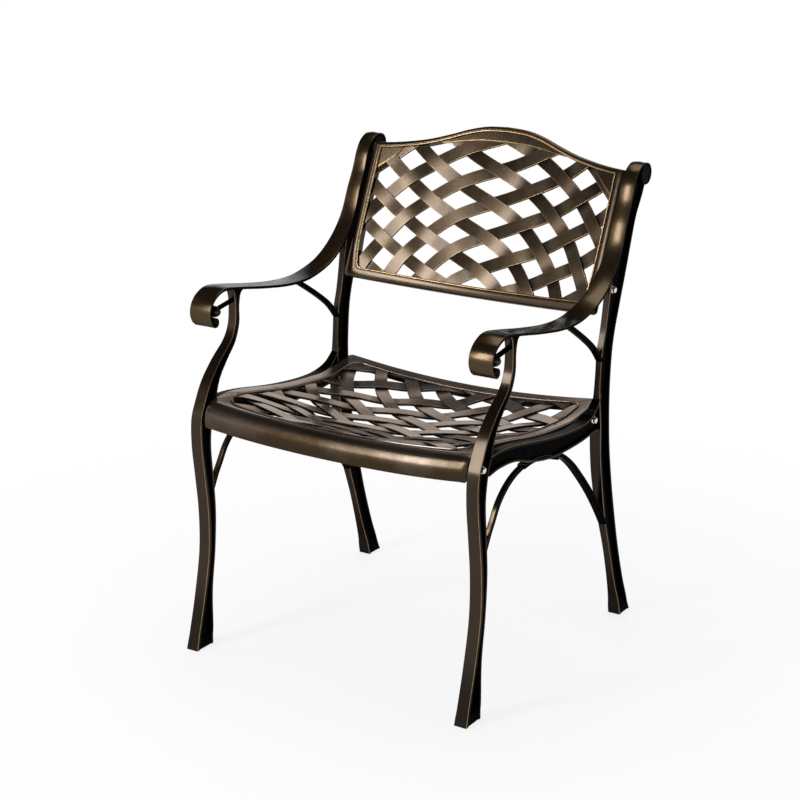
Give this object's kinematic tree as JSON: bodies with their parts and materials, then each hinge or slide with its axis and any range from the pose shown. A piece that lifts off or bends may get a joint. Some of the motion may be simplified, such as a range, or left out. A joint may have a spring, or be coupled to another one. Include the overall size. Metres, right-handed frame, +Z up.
{
  "type": "patio armchair",
  "caption": "Cast metal patio armchair with woven lattice seat and camelback back between two scrolled side frames, bolted together.",
  "frame": {"origin": "on the floor, centred under the chair's bounding box", "axes": "+Z up, +Y towards the chair's back, +X to the right of a viewer who faces the chair"},
  "size_m": [0.6226, 0.655, 0.9046],
  "materials": {
    "bronze_cast": "antique bronze powder coat, semi-gloss, rubbed golden on the edges",
    "zinc_bolt": "bright zinc"
  },
  "bodies": {
    "root": {"side_frame_right": "bronze_cast", "side_frame_left": "bronze_cast", "seat": "bronze_cast", "back": "bronze_cast", "bolt_seat_front_right": "zinc_bolt", "bolt_seat_rear_right": "zinc_bolt", "bolt_back_low_right": "zinc_bolt", "bolt_back_high_right": "zinc_bolt", "bolt_seat_front_left": "zinc_bolt", "bolt_seat_rear_left": "zinc_bolt", "bolt_back_low_left": "zinc_bolt", "bolt_back_high_left": "zinc_bolt"}
  },
  "joints": []
}
